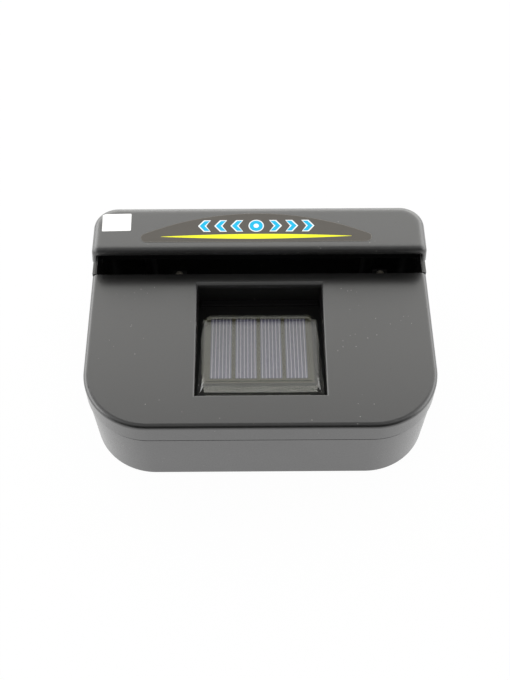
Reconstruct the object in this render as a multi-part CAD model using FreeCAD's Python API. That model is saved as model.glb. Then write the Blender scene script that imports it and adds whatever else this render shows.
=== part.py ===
"""Solar car-window ventilator: a flat housing that hangs inside a car's side window, with a hood that reaches
over the glass and blows the cabin air out under it. A small solar panel in the front face drives the blower.

The housing lies on its back. +Z points out of the front face, +Y points up when the fan hangs in a window,
and +X points to the right as the front face is seen. The origin is the middle of the footprint, on the back
face. All sizes are in millimetres.
"""
import FreeCAD
import Part

import math
import os

V = FreeCAD.Vector
os.makedirs("parts", exist_ok=True)

# ---------------------------------------------------------------- housing: driving sizes
body_width = 170.0
body_length = 121.0
near_corner_radius = 32.0       # the two big corners at the bottom edge of the housing
far_corner_radius = 12.0        # the two small corners under the hood
shell_wall = 2.2
floor_thickness = 2.2
seam_height = 37.5              # parting line between the rear shell and the front cover
face_height = 50.0              # front face, which rests on the window glass
face_thickness = 2.2
far_flange_depth = 2.6          # the cover's far edge turns down by this much in front of the partition
mouth_setback = 2.7             # from the cover's straight far edge to the hood's open mouth
rear_step = 0.5                 # the rear shell stands back from the cover at the seam
rear_draft = 1.0                # further inset of the rear shell at its floor
floor_edge_radius = 1.8
face_edge_radius = 2.4
far_edge_radius = 0.5           # along the cover's straight far edge
seam_gap = 0.15
reveal_height = 1.3             # groove under the cover's edge, which shows as a dark line along the seam
reveal_depth = 1.0
lip_height = 2.4                # the rear shell's thin inner lip that the cover drops over
lip_thickness = 1.0
lip_clearance = 0.2             # between the lip and the cover's skirt
lip_root = 0.6                  # the lip's root ends this far below the seam

# ---------------------------------------------------------------- hood over the window glass
hood_height = 15.4              # from the front face to the hood's top
hood_depth = 29.3               # from the hood's open mouth to the housing's far edge
glass_gap = 5.0                 # slot for the window glass
glass_reach = 9.8               # how far the glass goes in behind the hood's mouth
hood_wall = 2.2
hood_edge_radius = 4.0
hood_lip_depth = 3.5            # bead along the mouth's upper edge
hood_lip_width = 2.4
hood_lip_radius = 2.6
hood_side_draft = 1.2           # each side wall leans in by this much up to the hood's top
hood_tongue_depth = 4.0
hood_tongue_wall = 1.4
hood_ear_radius = 3.0           # rounding of the side walls' free lower corners

# ---------------------------------------------------------------- solar window in the front face
window_width = 65.0
window_length = 67.0
window_border = 5.3             # from the window to the cover's far edge
window_skirt = 1.6
window_draft = 0.5              # how much narrower each side of the well is at its foot
window_foot_depth = 17.0        # the draft is measured down to this depth under the face
window_far_round = 2.4
window_side_round = 1.2
window_near_round = 0.5
panel_tilt = 9.0                # degrees; the far edge lies deeper, to face the sky
panel_rise = 0.3                # the lens's plane stands above the face at the window's near edge
lens_thickness = 2.6
lens_start = 0.9                # along the slope, from the window's near edge
lens_far_border = 13.6          # the window's length less the lens's reach along the slope
lens_near_gap = 2.4             # beside the lens at its near end, to the window's side
lens_far_gap = 3.5              # the same at its far end
lens_corner_radius = 6.0        # its two far corners
lens_far_round = 1.6
lens_bevel_depth = 1.8
lens_near_bevel = 4.8
lens_side_bevel = 3.1           # at the near end
lens_far_bevel = 0.6            # the side bevels narrow to this at the far end
lens_pocket_depth = 0.8
lens_pocket_margin = 2.0        # the pocket under the lens, past the cells on each side

# ---------------------------------------------------------------- solar cells on their board
cell_count = 4
cell_gap = 1.85                 # between two cells
cell_side_border = 5.425        # from the lens's far corner to the cells
cell_far_border = 0.8           # from the cells' far end to the lens's
cell_thickness = 0.3
cell_shift = -0.8               # the cell group sits a little left of the window's middle
cell_start = 12.2               # along the slope, from the window's near edge
finger_count = 6                # silver lines on each cell
finger_width = 0.32
finger_height = 0.06
ribbon_width = 1.6
ribbon_height = 0.12
board_margin = 3.0
board_far_margin = 0.6
board_thickness = 1.0
tray_thickness = 2.0
tray_border = 9.5               # the tray reaches this far past the window on each side
tray_far_overhang = 3.2
tray_rib_height = 1.2           # raised strip across the tray behind the lens
tray_rib_border = 6.0           # the window's length less the rib's start along the slope
tray_gap = 0.05
tray_screw_border = 5.5         # from the window's side to each screw
tray_screw_start = 29.0         # the near screws, along the slope
tray_screw_end = 5.0            # the window's length less the far screws' place along the slope
tray_post_radius = 2.8
tray_screw_radius = 1.1
tray_screw_head_radius = 2.1
tray_screw_head_height = 1.3
tray_screw_bite = 3.4

# ---------------------------------------------------------------- blower
wheel_offset = 3.95             # the fan's axis lies this far beyond the middle of the blower's room
wheel_gap = 3.0                 # between the wheel and the casing's tongue
blade_depth = 5.8
wheel_start = 6.8               # height of the wheel's lower ring
wheel_height = 17.0
wheel_ring = 1.2
blade_count = 26
blade_thickness = 0.9
blade_sweep = 24.0              # degrees from a blade's foot to its tip
hub_cup_radius = 17.6
hub_cup_wall = 1.2
hub_floor_drop = 12.2           # from the wheel's back plate to the underside of the hub's floor
hub_boss_radius = 3.2
hub_boss_length = 5.0
scroll_start = 4.2              # underside of the blower casing
scroll_wall = 1.6
scroll_height = 21.8            # from the casing's underside to its lid
scroll_lid = 1.5
scroll_border = 9.35            # what the spiral's growth, wall and play take of half the room
cutoff_angle = 62.0
scroll_growth = 13.0            # gain in radius from the cutoff to the outlet
scroll_steps = 8
outlet_reach = 1.0              # the outlet duct ends this far behind the partition
inlet_lap = 1.2                 # the inlet is this much smaller than the wheel's eye
seal_lap = 1.5                  # the seal's hole is this much smaller than the wheel
seal_width = 4.5
lug_angles = (150.0, 230.0, 318.0)
lug_radius = 4.2
lug_height = 3.0
lug_base = 12.0                 # height of the bosses that the lugs stand on
lug_screw_radius = 1.3
lug_screw_head_radius = 2.5
lug_screw_head_height = 2.0
lug_screw_bite = 6.0
motor_cup_wall = 1.5
motor_cup_floor = 1.5

# ---------------------------------------------------------------- motor
motor_radius = 12.2
motor_length = 12.3
motor_base = 17.5               # height of the motor's front plate
can_wall = 0.5
end_cap_thickness = 1.5
motor_boss_radius = 3.0
motor_boss_height = 1.0
motor_boss_wall = 0.5
shaft_radius = 1.0
shaft_clearance = 0.03
bush_length = 2.4
rear_bush_length = 1.2
magnet_thickness = 2.8
magnet_angle = 130.0
magnet_height = 8.0
magnet_base = 1.5               # above the motor's front plate
armature_radius = 8.3
armature_height = 6.0
armature_base = 2.6
pole_count = 3
pole_arm_width = 2.4
pole_shoe_depth = 1.2
pole_shoe_angle = 92.0
core_hub_radius = 3.0
coil_build = 1.5
coil_inner = 3.5
coil_outer = 6.6
commutator_radius = 2.2
commutator_length = 1.4
brush_gap = 0.05
brush_thickness = 0.2
brush_width = 1.2
brush_length = 7.0
terminal_spread = 7.0
terminal_width = 1.8
terminal_thickness = 0.4
terminal_height = 2.4
motor_screw_circle = 8.0
motor_screw_radius = 0.95
motor_screw_head_radius = 1.8
motor_screw_head_height = 1.2

# ---------------------------------------------------------------- housing screws and their posts
post_radius = 3.9
post_split = 20.0               # height where the rear and front posts meet
post_gap = 0.2
screw_radius = 1.4
screw_clearance = 0.3
thread_clearance = 0.05
screw_head_radius = 2.8
screw_head_height = 2.2
screw_well_radius = 3.1
screw_seat = 14.0
screw_bite = 12.0
near_post_border = (19.0, 22.0)     # from the housing's side, and from its near edge
far_post_border = (13.0, 9.0)       # from the housing's side, and from the cover's far edge
hood_post_border = (27.0, 8.5)      # from the housing's side, and from its far edge
hood_post_radius = 3.4

# ---------------------------------------------------------------- ears that hold the cover's far edge down
ear_places = (-41.0, 62.0)      # to either side of the blower's duct
ear_width = 7.4
ear_reach = 5.6                 # past the cover's far edge
ear_drop = 4.6                  # from the front face down to the ears' upper side
ear_thickness = 1.6
ear_hook = 1.8                  # thickness of the web between the face and the ear
ear_clearance = 0.3
ear_boss_radius = 3.2
ear_boss_length = 16.0
ear_screw_radius = 1.1
ear_screw_head_radius = 2.0
ear_screw_head_height = 1.5
ear_screw_bite = 6.5

# ---------------------------------------------------------------- back grille, inner partition, outlet louvre
grille_start = 7.0              # inner radius of the first ring of slots
grille_pitch = 5.0
grille_border = 3.0             # solid rim of the dish outside the last ring
grille_slot = 2.8
grille_spokes = 6
grille_spoke_width = 2.6
grille_dish_depth = 0.6
partition_lap = 0.6             # the partition starts this far under the cover's far edge
partition_thickness = 1.6
partition_clearance = 0.4
louvre_play = 0.2               # from the glass's stop to the louvre
louvre_thickness = 2.0
louvre_drop = 2.0               # from the front face down to the louvre's upper side
louvre_gap = 0.3
louvre_bar = 2.0                # the upright bar that stops the glass
louvre_slot = 3.4
louvre_pitch = 6.2
louvre_border = 3.0
ledge_depth = 2.5
ledge_width = 1.6

# ---------------------------------------------------------------- leads, labels
lead_radius = 0.6
lead_hole_radius = 1.6
lead_spread = 9.0
lead_border = 2.6               # from the cells' far end to the leads' joints
solder_radius = 1.1
solder_height = 0.9
decal_side_border = 27.0        # the film's width keeps this clear on both sides of the hood
decal_length = 18.4
decal_shift = -1.5
decal_border = 5.4              # from the film's far side to the hood's far edge
decal_thickness = 0.12
decal_corner = 3.0              # its two near corners
decal_shoulder = 2.0            # where the arch meets the ends
decal_end_length = 4.6          # the film's length at its two ends, below the arch
label_width = 14.6
label_length = 11.2
label_border = (12.8, 10.9)     # from the label's middle to the housing's side, and to its far edge
label_turn = 1.2                # degrees; stuck on by hand
label_thickness = 0.1
label_corner = 0.6

# ---------------------------------------------------------------- worked-out sizes and places
# Those along Y are measured from the housing's near edge.
near_y = -body_length / 2
far_y = body_length / 2
rear_inset = rear_step + rear_draft
hood_start = body_length - hood_depth
cover_length = hood_start - mouth_setback
glass_stop_start = hood_start + glass_reach
louvre_start = glass_stop_start + louvre_play
partition_start = cover_length - partition_lap
outlet_end = partition_start + partition_thickness + outlet_reach
hood_top = face_height + hood_height
slot_top = face_height + glass_gap
ear_top = face_height - ear_drop
louvre_top = face_height - louvre_drop
window_foot = face_height - window_foot_depth
room_start = shell_wall + rear_inset
half_room = (partition_start - room_start) / 2
wheel_y = near_y + room_start + half_room + wheel_offset
cutoff_radius = half_room - scroll_border
wheel_radius = cutoff_radius - wheel_gap
wheel_inner_radius = wheel_radius - blade_depth
inlet_radius = wheel_inner_radius - inlet_lap
seal_inner_radius = wheel_radius - seal_lap
grille_rings = [
    grille_start + i * grille_pitch
    for i in range(1 + int((seal_inner_radius - grille_border - grille_slot - grille_start) / grille_pitch))
]
wheel_top = wheel_start + wheel_height
scroll_top = scroll_start + scroll_height
motor_top = motor_base + motor_length
cap_base = motor_top - end_cap_thickness
plane_z = face_height + panel_rise
tilt = math.radians(panel_tilt)
slope_length = window_length / math.cos(tilt)
window_start = cover_length - window_border - window_length
lens_end = window_length - lens_far_border
lens_near_width = window_width - 2 * lens_near_gap
lens_far_width = window_width - 2 * lens_far_gap
cells_width = lens_far_width - 2 * cell_side_border
cell_width = (cells_width - (cell_count - 1) * cell_gap) / cell_count
cell_pitch = cell_width + cell_gap
cell_length = lens_end - cell_far_border - cell_start
lead_place = cell_start + cell_length - lead_border
board_top = -lens_thickness - tray_gap
tray_bottom = board_top - tray_thickness


# ---------------------------------------------------------------- helpers
def from_near(distance):
    """The Y place at this distance from the housing's near edge."""
    return near_y + distance


def box(x0, x1, y0, y1, z0, z1):
    return Part.makeBox(x1 - x0, y1 - y0, z1 - z0, V(x0, y0, z0))


def cylinder(x, y, z0, z1, radius):
    return Part.makeCylinder(radius, z1 - z0, V(x, y, z0))


def tube(x, y, z0, z1, outer, inner):
    return cylinder(x, y, z0, z1, outer).cut(cylinder(x, y, z0 - 1, z1 + 1, inner))


def fused(shapes):
    shapes = list(shapes)
    if len(shapes) == 1:
        return shapes[0]
    return shapes[0].multiFuse(shapes[1:]).removeSplitter()


def without(shape, cutters):
    """shape with every cutter taken out of it."""
    cutters = list(cutters)
    return shape.cut(cutters) if cutters else shape


def polygon_prism(points, z0, z1):
    wire = Part.makePolygon([V(x, y, z0) for x, y in points] + [V(points[0][0], points[0][1], z0)])
    return Part.Face(wire).extrude(V(0, 0, z1 - z0))


def rounded_outline(x0, x1, y0, y1, z, near_radius, far_radius):
    """A closed wire, rounded at its near and far corners."""
    corners = (
        (x1, y0, near_radius, -90),
        (x1, y1, far_radius, 0),
        (x0, y1, far_radius, 90),
        (x0, y0, near_radius, 180),
    )
    arcs = []
    for x, y, radius, start in corners:
        cx = x - math.copysign(radius, x - (x0 + x1) / 2)
        cy = y - math.copysign(radius, y - (y0 + y1) / 2)
        middle = math.radians(start + 45)
        begin = math.radians(start)
        end = math.radians(start + 90)
        points = [V(cx + radius * math.cos(a), cy + radius * math.sin(a), z) for a in (begin, middle, end)]
        arcs.append(Part.Arc(*points).toShape())
    edges = []
    for i, arc in enumerate(arcs):
        following = arcs[(i + 1) % len(arcs)]
        edges.append(arc)
        edges.append(Part.makeLine(arc.Vertexes[-1].Point, following.Vertexes[0].Point))
    return Part.Wire(edges)


def housing_outline(inset, z):
    """The housing's plan outline, moved inwards by inset."""
    return rounded_outline(
        -body_width / 2 + inset,
        body_width / 2 - inset,
        near_y + inset,
        far_y - inset,
        z,
        near_corner_radius - inset,
        far_corner_radius - inset,
    )


def housing_prism(inset, z0, z1):
    return Part.Face(housing_outline(inset, z0)).extrude(V(0, 0, z1 - z0))


def leaning_block(x0, y0, z0, x1, y1, z1):
    """A block round the middle plane: half sizes x0 and y0 at z0, and x1 and y1 at z1."""
    block = Part.makeWedge(-x0, z0, -y0, -y1, -x1, x0, z1, y0, y1, x1)
    block.rotate(V(0, 0, 0), V(1, 0, 0), 90)
    return block


def housing_taper(inset0, z0, inset1, z1):
    """The housing's plan as a drafted block: moved inwards by inset0 at z0, and by inset1 at z1."""
    x0, x1 = body_width / 2 - inset0, body_width / 2 - inset1
    y0, y1 = body_length / 2 - inset0, body_length / 2 - inset1
    block = leaning_block(x0, y0, z0, x1, y1, z1)
    for sign, radius in ((-1, near_corner_radius), (1, far_corner_radius)):
        uprights = edges_where(
            block, lambda b: b.ZLength > (z1 - z0) / 2 and sign * b.YMin > y1 / 2 and b.YLength < 3 * rear_inset
        )
        block = block.makeFillet(radius - inset1, uprights)
    return block


def hood_prism(inset, z0, z1):
    """The hood's plan, moved inwards by inset. Its side walls lean in towards the top."""
    lean = hood_side_draft / hood_height
    half = body_width / 2 - inset
    y = far_y - inset
    block = leaning_block(half - lean * (z0 - face_height), y, z0, half - lean * (z1 - face_height), y, z1)
    far_uprights = edges_where(block, lambda b: b.ZLength > (z1 - z0) / 2 and b.YMin > 0)
    return block.makeFillet(far_corner_radius - inset, far_uprights)


def plate(x0, x1, y0, y1, z0, z1, near_radius, far_radius):
    outline = rounded_outline(x0, x1, y0, y1, z0, near_radius, far_radius)
    return Part.Face(outline).extrude(V(0, 0, z1 - z0))


def on_slope(shape):
    """Moves a piece from the panel's own frame, where Z is 0 on the lens's plane, to the housing's."""
    moved = shape.copy()
    moved.rotate(V(0, 0, 0), V(1, 0, 0), -panel_tilt)
    moved.translate(V(0, from_near(window_start), plane_z))
    return moved


def slope_point(x, along, height):
    return V(
        x,
        from_near(window_start) + along * math.cos(tilt) + height * math.sin(tilt),
        plane_z - along * math.sin(tilt) + height * math.cos(tilt),
    )


def edges_where(shape, test):
    """The shape's edges whose bounding box passes the test."""
    return [edge for edge in shape.Edges if test(edge.BoundBox)]


def fillet_if_possible(shape, radius, edges):
    """Rounds the edges. Every caller's radius is below its wall."""
    return shape.makeFillet(radius, edges) if edges else shape


def round_screw(x, y, seat, head_radius, head_height, shank_radius, shank_length, up):
    """A pan-head screw. Its head's underside is at seat, and its shank points up or down."""
    way = 1 if up else -1
    head = Part.makeCylinder(head_radius, head_height, V(x, y, seat), V(0, 0, -way))
    shank = Part.makeCylinder(shank_radius, shank_length, V(x, y, seat), V(0, 0, way))
    dome = edges_where(head, lambda b: b.ZLength < 1e-6 and abs(b.ZMin - (seat - way * head_height)) < 1e-6)
    head = head.makeFillet(head_height * 0.4, dome)
    slot_half = head_radius * 0.16
    reach = head_radius * 0.62
    depth = head_height * 0.5
    top = seat - way * head_height
    z0, z1 = sorted((top + way * depth, top - way))
    cross = box(x - reach, x + reach, y - slot_half, y + slot_half, z0, z1)
    cross = cross.fuse(box(x - slot_half, x + slot_half, y - reach, y + reach, z0, z1))
    return head.cut(cross).fuse(shank)


def export(name, shape):
    shape.exportStep("parts/" + name + ".step")


def group(shapes):
    """Separate solids that share one node."""
    return Part.Compound(list(shapes))


# ---------------------------------------------------------------- screw places
def case_posts():
    side_border, near_border = near_post_border
    near_place = (body_width / 2 - side_border, from_near(near_border))
    side_border, far_border = far_post_border
    far_place = (body_width / 2 - side_border, from_near(cover_length - far_border))
    return [(side * x, y) for x, y in (near_place, far_place) for side in (-1, 1)]


def hood_posts():
    side_border, far_border = hood_post_border
    return [(side * (body_width / 2 - side_border), far_y - far_border) for side in (-1, 1)]


def lug_places():
    places = []
    for angle in lug_angles:
        r = scroll_radius(angle) + scroll_wall + lug_radius - scroll_wall / 2
        a = math.radians(angle)
        places.append((r * math.cos(a), wheel_y + r * math.sin(a)))
    return places


def ear_screw_places():
    y = from_near(cover_length) + ear_reach - ear_boss_radius
    return [(x, y) for x in ear_places]


def tray_screws_local():
    spread = window_width / 2 + tray_screw_border
    places = (tray_screw_start, window_length - tray_screw_end)
    return [(side * spread, along) for along in places for side in (-1, 1)]


# ---------------------------------------------------------------- rear shell
def grille_cutter():
    z0, z1 = -1, floor_thickness + 1
    rings = [tube(0, wheel_y, z0, z1, r + grille_slot, r) for r in grille_rings]
    reach = grille_rings[-1] + grille_slot + 1
    spokes = []
    for i in range(grille_spokes):
        spoke = box(0, reach, -grille_spoke_width / 2, grille_spoke_width / 2, z0 - 1, z1 + 1)
        spoke.rotate(V(0, 0, 0), V(0, 0, 1), i * 360.0 / grille_spokes)
        spoke.translate(V(0, wheel_y, 0))
        spokes.append(spoke)
    return without(Part.Compound(rings), [fused(spokes)])


def rear_shell():
    low = housing_taper(rear_inset, 0, rear_step, seam_height)
    foot = edges_where(low, lambda b: b.ZMax < 1e-6)
    low = low.makeFillet(floor_edge_radius, foot)
    shoulder_y = from_near(cover_length) + seam_gap
    beyond_cover = box(-body_width, body_width, shoulder_y, far_y + 1, seam_height, face_height)
    shoulder = housing_prism(0, seam_height, face_height).common(beyond_cover)
    hollow = housing_taper(
        rear_inset + shell_wall, floor_thickness, rear_step + shell_wall, seam_height
    )
    neck_hollow = housing_prism(shell_wall, seam_height, face_height + 1)
    reveal_foot = seam_height - reveal_height
    in_front = box(-body_width, body_width, near_y - 1, shoulder_y, reveal_foot, seam_height + 1)
    kept_wall = housing_prism(rear_step + reveal_depth, reveal_foot - 1, seam_height + 2)
    reveal = in_front.cut(kept_wall)
    shell = fused([low.cut(hollow).cut(reveal), shoulder.cut(neck_hollow)])

    # the inner lip that the cover's skirt drops over
    lip_place = shell_wall + lip_clearance
    lip_outer = fused(
        [
            housing_prism(rear_step + shell_wall / 2, seam_height - lip_height, seam_height - lip_root),
            housing_prism(lip_place, seam_height - lip_height / 2, seam_height + lip_height),
        ]
    )
    lip_inner = housing_prism(
        rear_step + shell_wall + lip_thickness, seam_height - lip_height - 1, seam_height + lip_height + 1
    )
    under_cover = box(
        -body_width, body_width, near_y - 1, from_near(partition_start) + partition_thickness / 2,
        0, face_height,
    )
    lip = lip_outer.cut(lip_inner).common(under_cover)

    # the partition between the blower's room and the outlet room
    room = housing_taper(
        rear_inset + shell_wall / 2, floor_thickness / 2, rear_step + shell_wall / 2, seam_height
    )
    wall_y = from_near(partition_start)
    low_wall = box(-body_width, body_width, wall_y, wall_y + partition_thickness, 0, seam_height).common(room)
    wall_half = body_width / 2 - shell_wall - 2 * lip_clearance
    wall_top = face_height - far_flange_depth - partition_clearance
    shoulder_half = body_width / 2 - shell_wall / 2
    high_wall = fused(
        [
            box(-wall_half, wall_half, wall_y, wall_y + partition_thickness, seam_height - 1, wall_top),
            box(-shoulder_half, shoulder_half, shoulder_y, wall_y + partition_thickness, seam_height, wall_top),
        ]
    )

    # ledges that carry the outlet louvre
    ledges = []
    inner_half = body_width / 2 - shell_wall
    ledge_top = louvre_top - louvre_thickness
    for side in (-1, 1):
        x0, x1 = sorted((side * (inner_half + shell_wall / 2), side * (inner_half - ledge_width)))
        ledges.append(
            box(
                x0, x1, from_near(louvre_start), far_y - far_corner_radius,
                ledge_top - ledge_depth, ledge_top,
            )
        )
    ledge_y = far_y - shell_wall
    ledge_reach = inner_half - far_corner_radius
    ledges.append(
        box(-ledge_reach, ledge_reach, ledge_y - ledge_width, ledge_y + shell_wall / 2,
            ledge_top - ledge_depth, ledge_top)
    )

    posts = []
    wells = []
    for x, y in case_posts() + hood_posts():
        posts.append(cylinder(x, y, floor_thickness / 2, post_split, post_radius))
        wells.append(cylinder(x, y, -1, screw_seat, screw_well_radius))
        wells.append(cylinder(x, y, 0, post_split + 1, screw_radius + screw_clearance))
    for x, y in lug_places():
        posts.append(cylinder(x, y, floor_thickness / 2, lug_base, lug_radius))
        wells.append(
            cylinder(x, y, lug_base - lug_screw_bite - 1, lug_base + 1, lug_screw_radius + thread_clearance)
        )

    ear_foot = ear_top - ear_thickness - seam_gap
    for x, y in ear_screw_places():
        posts.append(cylinder(x, y, ear_foot - ear_boss_length, ear_foot, ear_boss_radius))
        wells.append(
            cylinder(x, y, ear_foot - ear_screw_bite - 1, ear_foot + 1, ear_screw_radius + thread_clearance)
        )
        half = ear_width / 2 + ear_clearance
        wells.append(box(x - half, x + half, wall_y - 1, y, ear_foot, face_height))
    shell = fused([shell, lip, low_wall, high_wall] + ledges + posts)
    duct = duct_outer(scroll_start - 1, scroll_top + scroll_lid + louvre_gap, louvre_gap)
    dish = cylinder(0, wheel_y, -1, grille_dish_depth, seal_inner_radius)
    return without(shell, wells + [duct, dish, grille_cutter()])


# ---------------------------------------------------------------- front cover
def flared_profile(place, low, high, low_round, high_round, low_draft):
    """A face across the well: drafted sides that turn outwards in a round at the front face."""
    top = face_height + 1
    mid = math.sqrt(0.5)
    low_wall = low + low_round
    high_wall = high - high_round
    low_arc = Part.Arc(
        place(low, face_height),
        place(low + low_round * mid, face_height - low_round * (1 - mid)),
        place(low_wall, face_height - low_round),
    ).toShape()
    high_arc = Part.Arc(
        place(high_wall, face_height - high_round),
        place(high - high_round * mid, face_height - high_round * (1 - mid)),
        place(high, face_height),
    ).toShape()
    corners = (
        (place(low_wall, face_height - low_round), place(low_wall + low_draft, window_foot)),
        (place(low_wall + low_draft, window_foot), place(high_wall - window_draft, window_foot)),
        (place(high_wall - window_draft, window_foot), place(high_wall, face_height - high_round)),
        (place(high, face_height), place(high, top)),
        (place(high, top), place(low, top)),
        (place(low, top), place(low, face_height)),
    )
    edges = [low_arc, high_arc] + [Part.makeLine(a, b) for a, b in corners]
    return Part.Face(Part.Wire(Part.__sortEdges__(edges)))


def window_cutter():
    """The well of the solar window, a little narrower at its foot, with a rounded rim."""
    half = window_width / 2
    y0 = from_near(window_start)
    y1 = y0 + window_length
    reach = body_width / 2
    across = flared_profile(
        lambda x, z: V(x, -reach, z), -half, half, window_side_round, window_side_round, window_draft
    )
    along = flared_profile(
        lambda y, z: V(-reach, y, z), y0, y1, window_near_round, window_far_round, 0.0
    )
    return across.extrude(V(0, 2 * reach, 0)).common(along.extrude(V(2 * reach, 0, 0)))


def above_tray():
    """The space over the tray's upper face, for trimming the well's walls and posts."""
    reach = 2 * body_width
    return on_slope(box(-reach, reach, -reach, reach, board_top + tray_gap, reach))


def front_cover():
    near_part = box(-body_width, body_width, near_y - 1, from_near(cover_length), 0, face_height + 1)
    outer = housing_prism(0, seam_height + seam_gap, face_height).common(near_part)
    cover_end = from_near(cover_length)
    rim = edges_where(outer, lambda b: b.ZMin > face_height - 1e-6 and b.YMin < cover_end - 1e-3)
    outer = outer.makeFillet(face_edge_radius, rim)
    far_edge = edges_where(
        outer, lambda b: b.ZMin > face_height - 1e-6 and b.YMin > cover_end - 1e-3 and b.YLength < 1e-6
    )
    outer = outer.makeFillet(far_edge_radius, far_edge)
    inner = housing_prism(
        shell_wall, seam_height - 1, face_height - face_thickness
    ).common(box(-body_width, body_width, near_y, from_near(cover_length) - shell_wall, 0, face_height))
    shell = outer.cut(inner)
    flange_half = body_width / 2 - shell_wall
    over_partition = box(
        -flange_half, flange_half, from_near(cover_length) - shell_wall - 1, from_near(cover_length) + 1,
        0, face_height - far_flange_depth,
    )
    shell = shell.cut(over_partition)

    half = window_width / 2 + window_skirt
    y0 = from_near(window_start)
    y1 = y0 + window_length + window_skirt
    skirt = box(-half, half, y0, y1, seam_height - face_height, face_height - face_thickness / 2)
    posts = [
        on_slope(cylinder(x, along, board_top, 2 * face_height, tray_post_radius))
        for x, along in tray_screws_local()
    ]
    under_face = box(
        -body_width, body_width, near_y, far_y, -face_height, face_height - face_thickness / 2
    )
    hanging = fused([skirt] + posts).common(under_face).common(above_tray())
    case_tubes = [
        cylinder(x, y, post_split + post_gap, face_height - face_thickness / 2, post_radius)
        for x, y in case_posts()
    ]
    ears = []
    holes = []
    for x, y in ear_screw_places():
        x0, x1 = x - ear_width / 2, x + ear_width / 2
        ears.append(box(x0, x1, cover_end - ear_hook, cover_end + ear_reach, ear_top - ear_thickness, ear_top))
        ears.append(
            box(x0, x1, cover_end - ear_hook, cover_end, ear_top - ear_thickness, face_height - far_edge_radius)
        )
        hole_radius = ear_screw_radius + screw_clearance
        holes.append(cylinder(x, y, ear_top - ear_thickness - 1, ear_top + 1, hole_radius))
    cover = without(fused([shell, hanging] + case_tubes + ears), holes)
    pilots = [
        cylinder(x, y, 0, screw_seat + screw_bite + 5, screw_radius + thread_clearance)
        for x, y in case_posts()
    ]
    pilots += [
        on_slope(
            cylinder(x, along, board_top - 1, board_top + tray_screw_bite, tray_screw_radius + thread_clearance)
        )
        for x, along in tray_screws_local()
    ]
    return without(cover, pilots + [window_cutter()])


# ---------------------------------------------------------------- hood and outlet louvre
def hood_outer(extra):
    """The hood's outer shape before its lip is rounded, grown by extra."""
    mouth_y = from_near(hood_start)
    top = hood_top + extra
    block = hood_prism(-extra, face_height, top)
    block = block.common(box(-body_width, body_width, mouth_y, far_y + 1, 0, top + 1))
    rim = edges_where(block, lambda b: b.ZMin > top - 1e-6 and b.YMax > mouth_y + 1e-3)
    return block.makeFillet(hood_edge_radius + extra, rim)


def hood():
    block = hood_outer(0)
    mouth_y = from_near(hood_start)
    lip_edge = edges_where(
        block,
        lambda b: b.ZMin > hood_top - hood_edge_radius - 1e-6 and abs(b.YMax - mouth_y) < 1e-6
        and abs(b.YMin - mouth_y) < 1e-6 and b.XLength > body_width / 2,
    )
    block = block.makeFillet(hood_lip_radius, lip_edge)

    cavity = hood_prism(hood_wall, face_height - 1, hood_top - hood_wall)
    cavity_rim = edges_where(cavity, lambda b: b.ZMin > hood_top - hood_wall - 1e-6)
    cavity = cavity.makeFillet(hood_edge_radius - hood_wall, cavity_rim)
    behind_lip = box(
        -body_width, body_width, mouth_y + hood_lip_width, far_y, 0, hood_top
    )
    below_lip = box(-body_width, body_width, near_y, far_y, 0, hood_top - hood_lip_depth)
    cavity = fused([cavity.common(behind_lip), cavity.common(below_lip)])
    shell = block.cut(cavity)

    # the slot for the glass, with its free corners rounded
    slot = box(
        -body_width, body_width, mouth_y - 1, from_near(glass_stop_start), face_height - 1, slot_top
    )
    shell = shell.cut(slot)
    ears = edges_where(
        shell,
        lambda b: abs(b.YMax - mouth_y) < 1e-3 and abs(b.ZMax - slot_top) < 1e-3
        and b.XLength > hood_wall / 2 and b.YLength < 1e-3 and b.ZLength < 1e-3,
    )
    shell = fillet_if_possible(shell, hood_ear_radius, ears)

    # the tongue that plugs into the rear shell's neck
    plug_inset = shell_wall + lip_clearance
    tongue = fused(
        [
            housing_prism(plug_inset, face_height - hood_tongue_depth, face_height + hood_wall),
            housing_prism(hood_wall / 2, face_height, face_height + hood_wall),
        ]
    )
    tongue = tongue.cut(
        housing_prism(plug_inset + hood_tongue_wall, face_height - hood_tongue_depth - 1, hood_top)
    )
    behind_glass = box(
        -body_width, body_width, from_near(glass_stop_start), far_y + 1, 0, hood_top
    )
    below_louvre = box(-body_width, body_width, near_y, far_y, louvre_top + louvre_gap, hood_top)
    tongue = tongue.common(behind_glass).common(below_louvre)

    posts = [
        cylinder(x, y, post_split + post_gap, hood_top - hood_wall / 2, hood_post_radius)
        for x, y in hood_posts()
    ]
    pilots = [
        cylinder(x, y, 0, screw_seat + screw_bite + 5, screw_radius + thread_clearance)
        for x, y in hood_posts()
    ]
    return without(fused([shell, tongue] + posts), pilots)


def outlet_louvre():
    inset = shell_wall + louvre_gap
    bottom = louvre_top - louvre_thickness
    y0 = from_near(louvre_start)
    sheet = housing_prism(inset, bottom, louvre_top).common(
        box(-body_width, body_width, y0, far_y, 0, hood_top)
    )
    half = body_width / 2 - inset
    bar_half = half - hood_tongue_wall - louvre_gap
    bar = box(-bar_half, bar_half, y0, y0 + louvre_bar, bottom, slot_top)
    slots = []
    reach = half - far_corner_radius
    count = int(2 * reach / louvre_pitch)
    slot_y0 = y0 + louvre_bar + louvre_border
    slot_y1 = far_y - inset - louvre_border
    for i in range(count):
        x = (i - (count - 1) / 2) * louvre_pitch
        near_post = any(
            abs(x - px) < hood_post_radius + louvre_gap + louvre_slot / 2 + 1 for px, _ in hood_posts()
        )
        if not near_post:
            slots.append(
                box(x - louvre_slot / 2, x + louvre_slot / 2, slot_y0, slot_y1, bottom - 1, louvre_top + 1)
            )
    holes = [cylinder(x, y, 0, hood_top, hood_post_radius + louvre_gap) for x, y in hood_posts()]
    return without(fused([sheet, bar]), slots + holes)


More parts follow.
